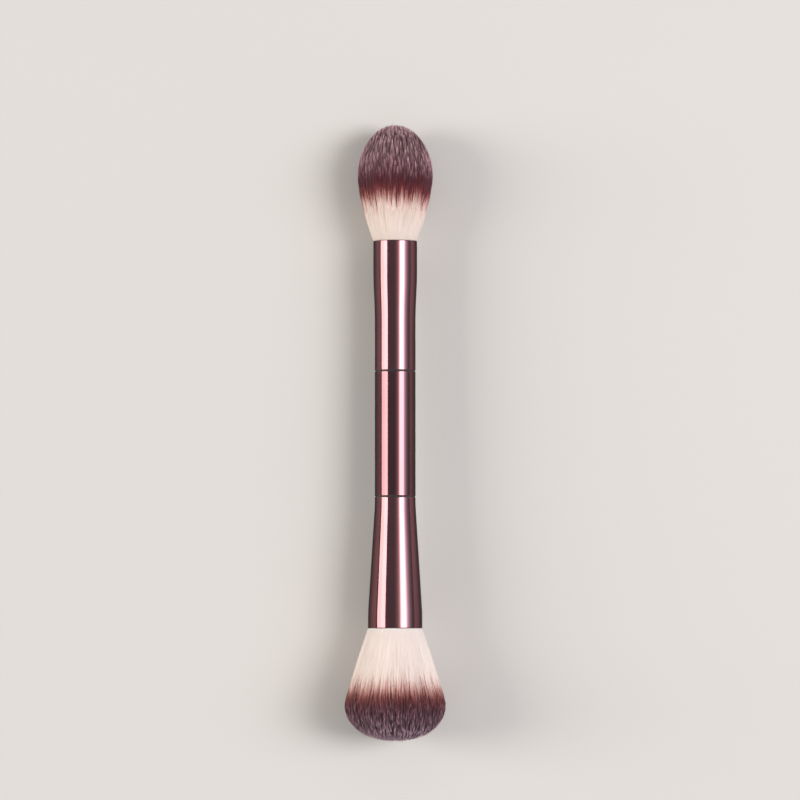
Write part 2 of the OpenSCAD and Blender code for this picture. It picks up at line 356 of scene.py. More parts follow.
def moulded_abs(name):
    """Injection moulded black ABS, as it leaves the mould: an even, slightly leathery grain that
    keeps the seams dark."""
    material, tree = new_material(name)
    where = add(tree, "TexCoord").outputs["Object"]
    # Spark-eroded mould grain, 0.12 mm across
    grain = add(tree, "TexNoise", {"Vector": where, "Scale": 8000.0, "Detail": 3.0})
    # Flow marks, 3 mm across
    flow = add(tree, "TexNoise", {"Vector": where, "Scale": 350.0, "Detail": 2.0})
    blacks = [(0.3, linear("#151213")), (0.7, linear("#1f1b1c"))]
    shader = add(
        tree,
        "BsdfPrincipled",
        {
            "Base Color": add(tree, "ValToRGB", {"Fac": flow}, blacks),
            "Roughness": add(tree, "MapRange", {"Value": grain, "To Min": 0.45, "To Max": 0.65}),
            "Normal": add(
                tree, "Bump", {"Height": grain, "Strength": 0.3, "Distance": 0.02 * MM}
            ),
            "IOR": 1.53,
        },
    )
    add(tree, "OutputMaterial", {"Surface": shader})
    return material


def cotton_thread(name):
    """Spun cotton thread, matt and a little fuzzy, twisted every 0.7 mm."""
    material, tree = new_material(name)
    where = add(tree, "TexCoord").outputs["Object"]
    twist = add(
        tree,
        "TexWave",
        {"Vector": where, "Scale": 520.0, "Distortion": 2.0, "Detail": 2.0},
        bands_direction="DIAGONAL",
    ).outputs["Fac"]
    creams = [(0.1, linear("#b3a892")), (0.9, linear("#e2dccf"))]
    shader = add(
        tree,
        "BsdfPrincipled",
        {
            "Base Color": add(tree, "ValToRGB", {"Fac": twist}, creams),
            "Roughness": 0.85,
            "Normal": add(
                tree, "Bump", {"Height": twist, "Strength": 0.6, "Distance": 0.08 * MM}
            ),
            "Sheen Weight": 0.3,
        },
    )
    add(tree, "OutputMaterial", {"Surface": shader})
    return material


def set_epoxy(name):
    """Two-part epoxy that set as it was poured: amber, glossy, with small bubbles near the top."""
    material, tree = new_material(name)
    where = add(tree, "TexCoord").outputs["Object"]
    # Bubbles 0.4 mm across and 0.6 mm apart
    bubbles = add(tree, "TexVoronoi", {"Vector": where, "Scale": 1600.0})
    pits = add(tree, "MapRange", {"Value": bubbles, "From Min": 0.0, "From Max": 0.35})
    # Thicker and thinner amber, in clouds 3 mm across
    clouds = add(tree, "TexNoise", {"Vector": where, "Scale": 300.0, "Detail": 3.0})
    ambers = [(0.3, linear("#b98f4c")), (0.7, linear("#d6b67a"))]
    shader = add(
        tree,
        "BsdfPrincipled",
        {
            "Base Color": add(tree, "ValToRGB", {"Fac": clouds}, ambers),
            "Roughness": add(tree, "MapRange", {"Value": clouds, "To Min": 0.12, "To Max": 0.3}),
            "Normal": add(tree, "Bump", {"Height": pits, "Strength": 0.4, "Distance": 0.1 * MM}),
            "IOR": 1.55,
        },
    )
    add(tree, "OutputMaterial", {"Surface": shader})
    return material


# Colours along each tuft, as (distance past the mouth in mm, a fibre's shaft, its tip). The tip's
# colour is mostly a painted highlight. The cream is painted lighter near each mouth against the
# shade that the fibres cast there, and palest in a thin band at the domed mouth, a painted
# highlight.
POINTED_DYE = (
    (-10, "#f8e7de", "#fff6f1"),
    (3.0, "#f8e5dc", "#fff5f0"),
    (9.2, "#f0d8cf", "#fdefe9"),
    (11.5, "#cb8f87", "#eac5be"),
    (13.2, "#813135", "#b06261"),
    (15.0, "#591b22", "#8f4346"),
    (17.6, "#4c1a25", "#8c4b56"),
    (19.5, "#471f2b", "#c78b98"),
    (23.0, "#4a242e", "#e8b5c0"),
    (26.0, "#5a313a", "#ffd2da"),
    (34.7, "#58323a", "#f0c4cd"),
)
DOMED_DYE = (
    (-10, "#fff6f3", "#fffbfa"),
    (0.35, "#fff6f3", "#fffbfa"),
    (0.7, "#fae9e3", "#fffbf9"),
    (13.8, "#f8e6df", "#fff9f6"),
    (15.55, "#ebcac2", "#fbe9e2"),
    (17.25, "#cb9289", "#efd0c7"),
    (19.15, "#7f3839", "#b56f6a"),
    (21.1, "#4a1a20", "#82454b"),
    (23.8, "#2c0f19", "#ac7887"),
    (28, "#381d29", "#e4b8ca"),
    (33.4, "#523746", "#ecc9d9"),
)
DYE_WHOLE = 8 * MM  # from here on past the mouth, the dye line is as ragged as it gets


def dyed_nylon(name, end, dye, packed=False):
    """Crimped nylon fibres, dipped in plum dye from their tips. Their dye line is ragged and
    reddish where it is thin. The map's U is each fibre's own tone plus a painted highlight near
    its end, and its V the place along the dye. Packed fibres below the surface lie in each
    other's shade, which is painted in as darker colour."""
    material, tree = new_material(name)
    own_map = add(tree, "SeparateXYZ", {"Vector": add(tree, "UVMap", uv_map=BAKE_MAP)})
    u, v = own_map.outputs["X"], own_map.outputs["Y"]
    # Faint bands of thicker and thinner dye along a fibre, 1.5 mm long
    fibre = add(tree, "Math", {0: u, 1: 260.0}, operation="MULTIPLY")
    band = add(tree, "Math", {0: v, 1: end.span / (1.5 * MM)}, operation="MULTIPLY")
    place = add(tree, "CombineXYZ", {"X": fibre, "Y": band})
    bands = add(tree, "TexNoise", {"Vector": place, "Scale": 1.0, "Detail": 2.0})
    # They move the dye line by up to 1 mm, apart from near the mouth
    most = add(
        tree,
        "MapRange",
        {
            "Value": v,
            "From Min": end.dye_place(0.0),
            "From Max": end.dye_place(DYE_WHOLE),
            "To Max": 5 * MM / end.span,
        },
    )
    off_middle = add(tree, "Math", {0: bands, 1: 0.5}, operation="SUBTRACT")
    dyed = add(tree, "Math", {0: off_middle, 1: most, 2: v}, operation="MULTIPLY_ADD")
    # The shaft's colour, and the tip's, which is mostly a painted highlight that U brings in near a
    # fibre's end
    shaft, tip = [
        add(
            tree,
            "ValToRGB",
            {"Fac": dyed},
            [(end.dye_place(row[0] * MM), linear(row[column])) for row in dye],
        )
        for column in (1, 2)
    ]
    if packed:
        tone = add(
            tree, "MapRange", {"Value": bands, "From Min": 0.5, "From Max": 0.7, "To Max": 0.2}
        )
        # Painted shade: past half the tuft's length the core's colour darkens to half, as packed
        # fibres lie in each other's shade
        shade = add(
            tree,
            "MapRange",
            {
                "Value": v,
                "From Min": end.dye_place(0.5 * end.sizes.length),
                "From Max": end.dye_place(0.65 * end.sizes.length),
                "To Min": 1.0,
                "To Max": 0.5,
            },
        )
        shaft = add(tree, "HueSaturation", {"Color": shaft, "Value": shade})
    else:
        lighter = add(
            tree,
            "MapRange",
            {"Value": bands, "From Min": 0.3, "From Max": 0.7, "To Min": -0.15, "To Max": 0.15},
        )
        tone = add(tree, "Math", {0: u, 1: lighter}, operation="ADD", use_clamp=True)
    roughness = add(
        tree,
        "MapRange",
        {"Value": bands, "From Min": 0.3, "From Max": 0.7, "To Min": 0.4, "To Max": 0.6},
    )
    shader = add(
        tree,
        "BsdfPrincipled",
        {
            "Base Color": add(tree, "Mix", {0: tone, 6: shaft, 7: tip}, data_type="RGBA"),
            "Roughness": roughness,
            "Normal": add(
                tree, "Bump", {"Height": bands, "Strength": 0.15, "Distance": 0.02 * MM}
            ),
            "IOR": 1.53,
            "Specular IOR Level": 0.2,
            "Sheen Weight": 0.05,
            "Sheen Roughness": 0.4,
            "Sheen Tint": linear("#efe2ea"),
        },
    )
    add(tree, "OutputMaterial", {"Surface": shader})
    return material


def painted_board(name, tint):
    """Matt painted board with a faint roller texture, so that the floor isn't perfectly even."""
    material, tree = new_material(name)
    where = add(tree, "TexCoord").outputs["Object"]
    # Roller stipple, 1 mm across
    roller = add(tree, "TexNoise", {"Vector": where, "Scale": 900.0, "Detail": 3.0})
    # Thicker and thinner paint, in clouds 0.3 m across
    clouds = add(tree, "TexNoise", {"Vector": where, "Scale": 3.0})
    coat = add(tree, "MapRange", {"Value": clouds, "To Min": 0.985, "To Max": 1.015})
    shader = add(
        tree,
        "BsdfPrincipled",
        {
            "Base Color": add(tree, "HueSaturation", {"Color": tint, "Value": coat}),
            "Roughness": 0.9,
            "Specular IOR Level": 0.15,
            "Normal": add(
                tree, "Bump", {"Height": roller, "Strength": 0.05, "Distance": 0.1 * MM}
            ),
        },
    )
    add(tree, "OutputMaterial", {"Surface": shader})
    return material


def to_mesh(name, bm):
    """A mesh from a bmesh, which is freed."""
    mesh = bpy.data.meshes.new(name)
    bm.to_mesh(mesh)
    bm.free()
    return mesh


def new_object(name, data):
    """A new object in the scene, at the origin."""
    ob = bpy.data.objects.new(name, data)
    bpy.context.scene.collection.objects.link(ob)
    return ob


def new_piece(name, mesh, material, slot, *nodes):
    """A piece of the brush, which stands for the nodes named."""
    mesh.materials.append(material)
    piece = new_object(name, mesh)
    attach(piece, "root")
    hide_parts(*nodes)


# How the handle's metal and the tufts' cores are turned
ROUND = 128  # steps round the axis
TAPER_RINGS = 33  # along a ferrule's taper
HOLD = 0.35 * MM  # from each rim to the ring behind it, which keeps the rim's rounding tight
EDGE_STEPS, MOUTH_STEPS = 3, 6  # of the rounding at a seam and at a mouth
MOUTH_BEAD = 0.46  # radius of a ferrule's round mouth, as a share of its wall
CLOSE = 0.01 * MM  # what lies this near counts as the same place


def smooth(bm):
    """Shades all faces smoothly."""
    for face in bm.faces:
        face.smooth = True


def spun(brush, profile, closed):
    """A bmesh turned about the brush's axis from a line of points, each given as the distance
    along the axis and out from it."""
    bm = bmesh.new()
    corners = [bm.verts.new(brush.at(along, out)) for along, out in profile]
    for a, b in zip(corners, corners[1:] + corners[:1] if closed else corners[1:]):
        bm.edges.new((a, b))
    bmesh.ops.spin(
        bm,
        geom=bm.verts[:] + bm.edges[:],
        cent=brush.middle,
        axis=brush.axis,
        angle=math.tau,
        steps=ROUND,
        use_merge=True,
    )
    bmesh.ops.remove_doubles(bm, verts=bm.verts, dist=0.002 * MM)
    bmesh.ops.recalc_face_normals(bm, faces=bm.faces)
    smooth(bm)
    return bm


def ring(brush, bm, along, out):
    """The edges of the circle at that place."""

    def on_it(vert):
        run = np.array(vert.co) - brush.middle
        reach = run @ brush.axis
        off_axis = np.linalg.norm(run - reach * brush.axis)
        return abs(reach - along) < CLOSE and abs(off_axis - out) < CLOSE

    there = {vert for vert in bm.verts if on_it(vert)}
    return [e for e in bm.edges if e.verts[0] in there and e.verts[1] in there]


def sleeve(brush, stations, wall, roundings):
    """A metal sleeve through stations of (distance along, outside radius). Each rounding is
    (station, steps, size of the outer edge's, size of the inner edge's)."""
    inside = [(along, out - wall) for along, out in reversed(stations)]
    bm = spun(brush, stations + inside, closed=True)
    for station, steps, outer, inner in roundings:
        along, out = stations[station]
        for radius, offset in ((out, outer), (out - wall, inner)):
            bmesh.ops.bevel(
                bm,
                geom=ring(brush, bm, along, radius),
                offset=offset,
                offset_type="OFFSET",
                affect="EDGES",
                segments=steps,
                profile=0.5,
                material=-1,
            )
    smooth(bm)
    return bm


class BRUSH_OT_centre_tube(Operator):
    """Turns the centre tube with rounded edges at both seams"""

    bl_idname = "brush.centre_tube"
    bl_label = "Centre Tube"

    def execute(self, context):
        brush, metal = Brush(context.scene), context.scene.brush_metal
        start, end = brush.tube_at, brush.tube_at + metal.tube_length
        places = (start, start + HOLD, end - HOLD, end)
        edge = (EDGE_STEPS, metal.edge, metal.edge / 2)
        bm = sleeve(
            brush,
            [(along, metal.tube_diameter / 2) for along in places],
            metal.tube_wall,
            [(0, *edge), (-1, *edge)],
        )
        material = anodised_aluminium(
            "anodised_tube", brush, metal.tube_colour, metal.worn, start, end
        )
        mesh = to_mesh("centre_tube", bm)
        new_piece("centre_tube", mesh, material, "tube_metal", "handle_tube")
        return {"FINISHED"}


class BRUSH_OT_ferrules(Operator):
    """Draws both ferrules, each with a rounded mouth"""

    bl_idname = "brush.ferrules"
    bl_label = "Ferrules"

    def execute(self, context):
        brush, metal = Brush(context.scene), context.scene.brush_metal
        for end in (brush.pointed, brush.domed):
            s = end.sizes
            taper = np.linspace(s.seam_band, s.ferrule - s.mouth_band, TAPER_RINGS)
            held = (HOLD,) if s.seam_band > 2 * HOLD else ()
            runs = [0, *held, *taper, s.ferrule - HOLD, s.ferrule]
            stations = [
                (end.seam_at + end.way * run, float(end.ferrule_radius(run))) for run in runs
            ]
            bead = metal.ferrule_wall * MOUTH_BEAD
            roundings = [(0, EDGE_STEPS, metal.edge, metal.edge / 2), (-1, MOUTH_STEPS, bead, bead)]
            bm = sleeve(brush, stations, metal.ferrule_wall, roundings)
            material = anodised_aluminium(
                f"anodised_{end.name}_ferrule",
                brush,
                metal.ferrule_colour,
                metal.worn,
                end.seam_at,
                end.mouth_at,
            )
            name = f"{end.name}_sleeve"
            new_piece(name, to_mesh(name, bm), material, "ferrule_metal", f"{end.name}_ferrule")
        return {"FINISHED"}


class BRUSH_OT_inner_parts(Operator):
    """Gives the joiners, the ties and the epoxy their materials"""

    bl_idname = "brush.inner_parts"
    bl_label = "Joiners, Ties and Epoxy"

    def execute(self, context):
        finishes = {
            "joiner": moulded_abs("moulded_abs"),
            "tie": cotton_thread("cotton_thread"),
            "glue": set_epoxy("set_epoxy"),
        }
        for name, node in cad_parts.items():
            kind = name.split("_")[-1]
            if kind in finishes:
                for place in node.material_slots:
                    place.material = finishes[kind]
        return {"FINISHED"}


# A tuft's packed core. Its root has the sizes of the solid's
ROOT_GAP = 0.04 * MM  # from the root to the ferrule's wall
ROOT_SLIM = 0.45 * MM  # how much slimmer the root is behind its tie
THREAD = 0.5 * MM  # thickness of the tie
TIED = (2.2 * MM, 4.54 * MM)  # where the tie starts and ends, from the root's end
CORE_DEPTH = (0.5 * MM, 1.0 * MM)  # how deep the core lies at the mouth, and from the belly on
FLARE_RINGS, CROWN_RINGS = 10, 16  # along the core
ROUND_SHARE = 0.98  # how much of the map's width one turn takes, so that no face runs off it


def core_line(end):
    """The core's outline from its root to its tip, as (distance past the mouth, radius)."""
    s, root = end.sizes, end.root

    def packed(past):
        return float(end.ferrule_radius(s.ferrule + past)) - end.metal.ferrule_wall - ROOT_GAP

    slim = packed(-root) - ROOT_SLIM
    tied = packed(-root) - THREAD - 3 * ROOT_GAP
    tie_start, tie_end = TIED[0] - root, TIED[1] - root
    line = [
        (-root, 0.0),
        (-root, slim),
        (tie_start - THREAD / 2, slim),
        (tie_start, tied),
        (tie_end, tied),
        (tie_end + THREAD / 2, packed(tie_end + THREAD / 2)),
        (0.0, packed(0.0)),
    ]
    flare = np.linspace(end.metal.ferrule_wall, s.belly, FLARE_RINGS)
    depth = np.interp(flare, (0, s.belly), CORE_DEPTH)
    line += list(zip(flare, end.tuft_radius(flare) - depth))
    round_crown = np.sin(np.linspace(0, math.pi / 2, CROWN_RINGS + 1)[1:])
    crown = s.belly + (s.length - s.belly) * round_crown
    radius = end.tuft_radius(crown)
    kept = 1 - CORE_DEPTH[1] / np.hypot(radius, crown - s.belly)
    line += list(zip(s.belly + (crown - s.belly) * kept, radius * kept))
    line[-1] = (line[-1][0], 0.0)
    return line


def map_core(brush, end, bm):
    """Maps a tuft's core with the turn round the axis as U and the place along the dye as V."""
    layer = bm.loops.layers.uv.new(BAKE_MAP)
    for face in bm.faces:
        middle = np.array(face.calc_center_median()) - brush.middle
        face_turn = math.atan2(middle @ brush.side, middle @ brush.up)
        for loop in face.loops:
            run = np.array(loop.vert.co) - brush.middle
            across, up = run @ brush.side, run @ brush.up
            turn = math.atan2(across, up) if math.hypot(across, up) > CLOSE else face_turn
            turn = face_turn + math.remainder(turn - face_turn, math.tau)
            past = end.way * (run @ brush.axis - end.mouth_at)
            loop[layer].uv = (0.5 + turn / math.tau * ROUND_SHARE, end.dye_place(past))


class BRUSH_OT_tuft_cores(Operator):
    """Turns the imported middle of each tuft, which shows dark between the outer fibres"""

    bl_idname = "brush.tuft_cores"
    bl_label = "Tuft Cores"

    def execute(self, context):
        brush = Brush(context.scene)
        for end, dye in ((brush.pointed, POINTED_DYE), (brush.domed, DOMED_DYE)):
            profile = [(end.mouth_at + end.way * past, out) for past, out in core_line(end)]
            bm = spun(brush, profile, closed=False)
            map_core(brush, end, bm)
            material = dyed_nylon(f"packed_{end.name}_nylon", end, dye, packed=True)
            name = f"{end.name}_core"
            mesh = to_mesh(name, bm)
            new_piece(name, mesh, material, f"{end.name}_fibres", f"{end.name}_tuft")
        return {"FINISHED"}


# One fibre
RINGS = 7  # rings of three corners below its tip
HIDDEN = 2 * MM  # length of fibre that is made inside the ferrule
OUTER_RUN = (0.35, 0.67, 0.88, 0.97)  # rings beyond the mouth, as shares of the fibre
SHORT_FIBRE = 12 * MM  # length of a fibre that shows only its tip
INNER_RUN = (0.0, 0.2, 0.4, 0.6, 0.76, 0.88, 0.96)  # its rings, as shares of that length
OUTERMOST = 0.9  # share of the tuft's radius from which on a fibre shows all its length
TAPER = (1.0, 1.0, 1.0, 1.0, 1.0, 0.85, 0.5, 0.0)  # thickness at each ring, and at the tip
CRIMP = (0.0, 0.0, 0.0, 1.0, 1.0, 0.8, 0.4, 0.4)  # how far each of them may stray from its way
THICK_LEAST, THICK_MORE = 0.8, 0.4  # of the set thickness, and what chance adds
CLEAR = 0.02 * MM  # how near a fibre's middle comes to the axis, and its side to the table

# Where the fibres end
FIRST_END = 0.93  # the first ones, as a share of the way to the belly
OUTLINE_POINTS = 4001  # of the outline that they end on
TIP_MORE, TIP_WIDTH = 3, 3 * MM  # how many more end at the tip, and within which radius
SCATTER = 0.6  # how irregular their spacing is
PAST_CROWN = 0.45 * MM  # how far out they reach, as fine ends fill the crown less than a skin
REACH, SIDE_REACH = 0.3 * MM, 0.4 * MM  # how far on they all end, and what the sides add
SIDES = 0.4  # from the axis to the sides, in diameters
PAST_TIP = 0.2 * MM  # the furthest that all but the loose ones end past the tip
SHORT_TAIL, SHORT_OWN, SHORT_CLUMP = 0.95, 0.8, 0.6  # longest tail, own part, and the clump's
LOOSE, LOOSE_LENGTH = 0.02, 0.9 * MM  # share of loose fibres, and the most that they stand out
UNDER = 0.2 * MM  # the most that a fibre lies below the outermost ones

# How fibres cling to their clump, and lie over one another
DRAWN_ALONG = 0.7  # how much of the way to the clump's end a fibre's end moves
NEAR_AXIS = 2.5 * MM  # radius within which they cling less, because that would open a cleft
FLANK = 0.55  # from a clump's middle to its flank, in widths of a clump
DRAWN_ALL, DRAWN_END, DRAWN_RUN = 0.1, 0.5, 4 * MM  # how much they draw together, more in that run
FLANK_DEPTH, FLANK_RUN = 0.18 * MM, 5 * MM  # how deep the flanks lie, in that run from their end
SINK, SINK_RUN = 0.35 * MM, 9 * MM  # how deep a fibre lies, that far and further from its end
SINK_FROM = 6 * MM  # past the mouth, where it may lie that deep

# How much they stray
SWAY = 0.1 * MM  # of a whole fibre, at its end
CRIMP_OUT, CRIMP_ACROSS = 0.05 * MM, 0.09 * MM  # of each ring
SWAY_RADIUS = 2 * MM  # nearer the axis than this, they stray less

# Tone, painted highlight on the ends, and dye
TONE_CLUMP, TONE_FIBRE = 0.06, 0.12  # how much lighter a clump and a fibre may be
HIGHLIGHT_ALL, HIGHLIGHT_FIBRE = 0.1, 0.35  # painted highlight on every end, and what chance adds
HIGHLIGHT_MIDDLE, FLANK_SHADE = 1.15, 0.95  # share of the painted highlight in a clump's middle, and what its flank loses as painted shade
HIGHLIGHT_SOLID, HIGHLIGHT_RUN = 1.3, 1.15 * MM  # the painted highlight fades from 0.35 mm to 1.5 mm short of the fibre's end
DYE_CLUMP, DYE_FIBRE = 0.2, 0.65  # raggedness of the dye line from clumps and from fibres
DYE_MOST, DYE_MEAN = 2.2, 0.82  # the most of both together, and about their mean

# Where things lie on the map
DARKEST, TONES = 0.02, 0.96  # U of the darkest tone, and from there to the palest
CORNER_STEP, ROOT_STEP = 0.008, 0.004  # U between a ring's corners, and V between the root's
MAP_TIP = 0.9 * MM  # furthest place past the tip that V shows


def outline_of(end):
    """Where a tuft's fibres end, as arrays of the place past the mouth, the length along the
    outline, the radius, and the number up to there. They thin out down the flare, and stand
    closest at the tip, where they are seen end on."""
    s = end.sizes
    first = FIRST_END * s.belly
    past = first + (s.length - first) * (1 - (1 - np.linspace(0, 1, OUTLINE_POINTS)) ** 2)
    radius = end.tuft_radius(past)
    arc = np.concatenate([[0], np.cumsum(np.hypot(np.diff(past), np.diff(radius)))])
    rim = math.tau * radius * np.clip((past - first) / (s.belly - first), 0.0, 1)
    rim *= 1 + TIP_MORE * np.exp(-((radius / TIP_WIDTH) ** 2))
    number = np.concatenate([[0], np.cumsum((rim[1:] + rim[:-1]) / 2 * np.diff(arc))])
    return past, arc, radius, number


def scattered(outline, count, rng):
    """Places spread evenly over that outline, with a turn round the axis for each."""
    past, arc, radius, number = outline
    order = (np.arange(count) + 0.5 + rng.uniform(-SCATTER, SCATTER, count)) / count
    here = np.interp(order * number[-1], number, past)
    golden = math.pi * (3 - math.sqrt(5))
    turn = np.arange(count) * golden + rng.normal(0, 0.1 * SCATTER, count)
    return here, np.interp(here, past, arc), np.interp(here, past, radius), turn


def nearest_clump(s, arc, radius, turn, clump_arc, clump_turn):
    """The number of the clump nearest to each fibre's end, on the tuft's outline."""
    nearest = []
    # In 16 parts, to need less memory at a time
    for some in np.array_split(np.arange(len(arc)), 16):
        along = (arc[some, None] - clump_arc) / s.clump_length
        around = np.remainder(clump_turn - turn[some, None] + math.pi, math.tau) - math.pi
        around *= radius[some, None] / s.clump_width
        nearest.append(np.argmin(along**2 + around**2, axis=1))
    return np.concatenate(nearest)


def fibre_layout(end, fibres, pieces, seed):
    """Everything that differs between the fibres of a tuft, as one array for each thing. Each
    fibre clings to the nearest clump, and the clumps end in staggered rows."""
    rng = np.random.default_rng(seed)
    s, count = end.sizes, pieces * fibres.per_piece
    outline = outline_of(end)
    here, arc, radius, turn = scattered(outline, count, rng)
    clumps = round(outline[-1][-1] / (s.clump_width * s.clump_length))
    clump_here, clump_arc, _, clump_turn = scattered(outline, clumps, rng)
    clump = nearest_clump(s, arc, radius, turn, clump_arc, clump_turn)
    pull = np.remainder(clump_turn[clump] - turn + math.pi, math.tau) - math.pi
    flank = np.clip(np.abs(pull) * radius / (FLANK * s.clump_width), 0, 1)
    off_axis = np.clip(radius / NEAR_AXIS, 0, 1)
    here = here + DRAWN_ALONG * off_axis * (clump_here[clump] - here)
    over = PAST_CROWN * np.clip((here - s.belly) / (s.length - s.belly), 0, 1)
    spread = (end.tuft_radius(here) + over) / end.fibre_radius(here)

    clump_tone, clump_short, clump_highlight = rng.random((3, clumps))[:, clump]
    clump_dye = rng.exponential(1.0, clumps)[clump]
    own = rng.random((8, count))
    # Most fibres end a little short, a few end much shorter, and a very few stand out
    tail = -np.log(1 - SHORT_TAIL * own[0])
    short = fibres.unevenness * (tail * SHORT_OWN + SHORT_CLUMP * clump_short)
    loose = np.where(own[1] < LOOSE, own[2] * LOOSE_LENGTH, 0.0)
    reach = REACH + SIDE_REACH * np.clip(radius / (SIDES * s.diameter), 0, 1)
    # More of them lie near the surface, and more clumps carry the painted highlight clearly or
    # hardly at all
    depth = own[3] ** 1.5 * UNDER
    stepped = clump_highlight**2 * (3 - 2 * clump_highlight)
    return {
        "tip": np.minimum(here + reach - short, s.length + PAST_TIP) + loose,
        "spread": np.clip(spread, 0, 1) * (1 - depth / (s.diameter / 2)),
        "turn": turn,
        "pull": pull * off_axis,
        "sway": rng.normal(0, SWAY, count),
        "crimp": rng.normal(0, 1.0, (count, 2, RINGS + 1)) * CRIMP,
        "flank": flank**2,
        "tone": TONE_CLUMP * clump_tone + TONE_FIBRE * own[4],
        # The painted highlight on each fibre's end, less on a clump's flanks as painted shade
        "pale": (HIGHLIGHT_ALL + stepped + HIGHLIGHT_FIBRE * own[7]) * (HIGHLIGHT_MIDDLE - FLANK_SHADE * flank**2),
        "dye": np.minimum(clump_dye * DYE_CLUMP + rng.exponential(DYE_FIBRE, count), DYE_MOST)
        - DYE_MEAN,
        "thickness": fibres.thickness / 2 * (THICK_LEAST + THICK_MORE * own[5]),
        "twist": own[6] * math.tau,
    }


def one_fibre():
    """A three-sided fibre along Z with a ring at each whole height, closed at both ends."""
    bm = bmesh.new()
    bmesh.ops.create_circle(bm, cap_ends=True, segments=3, radius=1.0)
    edges = bm.edges[:]
    for _ in range(RINGS):
        made = bmesh.ops.extrude_edge_only(bm, edges=edges)["geom"]
        verts = [g for g in made if isinstance(g, bmesh.types.BMVert)]
        made = [g for g in made if isinstance(g, bmesh.types.BMEdge)]
        edges = [e for e in made if e.verts[0] in verts and e.verts[1] in verts]
        bmesh.ops.translate(bm, verts=verts, vec=(0, 0, 1))
    bmesh.ops.pointmerge(bm, verts=verts, merge_co=(0, 0, RINGS))
    bmesh.ops.recalc_face_normals(bm, faces=bm.faces)
    bmesh.ops.triangulate(bm, faces=bm.faces)
    smooth(bm)
    bm.loops.layers.uv.new(BAKE_MAP)
    return bm


def fibre_mesh(name, count):
    """A mesh of that many copies of one fibre, one after the other."""
    single = to_mesh(f"{name}_one", one_fibre())
    holder = new_object(f"{name}_one", single)
    copies = holder.modifiers.new("Copies", "ARRAY")
    copies.count = count
    copies.use_relative_offset = False
    copies.use_constant_offset = True
    copies.constant_offset_displace = (0, 0, 0)
    bpy.context.view_layer.update()
    whole = holder.evaluated_get(bpy.context.evaluated_depsgraph_get())
    mesh = bpy.data.meshes.new_from_object(whole)
    mesh.name = name
    bpy.data.objects.remove(holder)
    bpy.data.meshes.remove(single)
    return mesh


def lay(mesh, brush, end, layout):
    """Lays each fibre of the mesh along its way through the tuft. Returns, for each vertex, its
    distance past the mouth and how much of its fibre is left, and for one fibre's vertices the
    number of their ring and their angle on it."""
    count = len(layout["tip"])
    tip, spread, thickness, pull, flank, sway = (
        layout[key][:, None] for key in ("tip", "spread", "thickness", "pull", "flank", "sway")
    )
    flat = np.empty(len(mesh.vertices) * 3, np.float32)
    mesh.vertices.foreach_get("co", flat)
    plain = flat.reshape(count, -1, 3)[0]
    level = np.round(plain[:, 2]).astype(int)
    corner = np.arctan2(plain[:, 1], plain[:, 0])

    mouth_rings = np.broadcast_to((-HIDDEN, 0.0, end.metal.ferrule_wall), (count, 3))
    outer = np.concatenate([mouth_rings, tip * OUTER_RUN, tip], axis=1)
    start = np.maximum(tip - SHORT_FIBRE, -HIDDEN)
    inner = start + (tip - start) * (*INNER_RUN, 1.0)
    past = np.where(spread > OUTERMOST, outer, inner)[:, level]
    grown = np.clip(past / tip, 0, 1)
    left = np.maximum(tip - past, 0)

    # Fibres that go on lie under those that end, and so do those on the flanks of a clump
    radius = spread * end.fibre_radius(past) - thickness
    radius -= SINK * np.clip(left / SINK_RUN, 0, 1) * np.clip(past / SINK_FROM, 0, 1)
    radius -= FLANK_DEPTH * flank * np.clip(1 - left / FLANK_RUN, 0, 1)
    radius += CRIMP_OUT * layout["crimp"][:, 0, level]
    radius = np.maximum(radius, CLEAR)
    # Clumps draw together towards their tips
    drawn = DRAWN_ALL * grown**2 + DRAWN_END * np.clip(1 - left / DRAWN_RUN, 0, 1)
    turn = layout["turn"][:, None] + pull * drawn
    astray = sway * grown**2 + CRIMP_ACROSS * layout["crimp"][:, 1, level]
    turn = turn + astray / np.maximum(radius, SWAY_RADIUS)

    thick = thickness * np.array(TAPER)[level]
    centre = brush.at(end.mouth_at + end.way * past, radius, turn)
    # Where the brush rests, the fibres lie flat on the table
    centre[..., 2] = np.maximum(centre[..., 2], thick + CLEAR)
    around = corner[None, :] + layout["twist"][:, None]
    out_dir = np.cos(turn)[..., None] * brush.up + np.sin(turn)[..., None] * brush.side
    side_dir = -np.sin(turn)[..., None] * brush.up + np.cos(turn)[..., None] * brush.side
    place = centre + thick[..., None] * (
        np.cos(around)[..., None] * out_dir + np.sin(around)[..., None] * side_dir
    )
    mesh.vertices.foreach_set("co", place.astype(np.float32).ravel())
    return past, left, level, corner


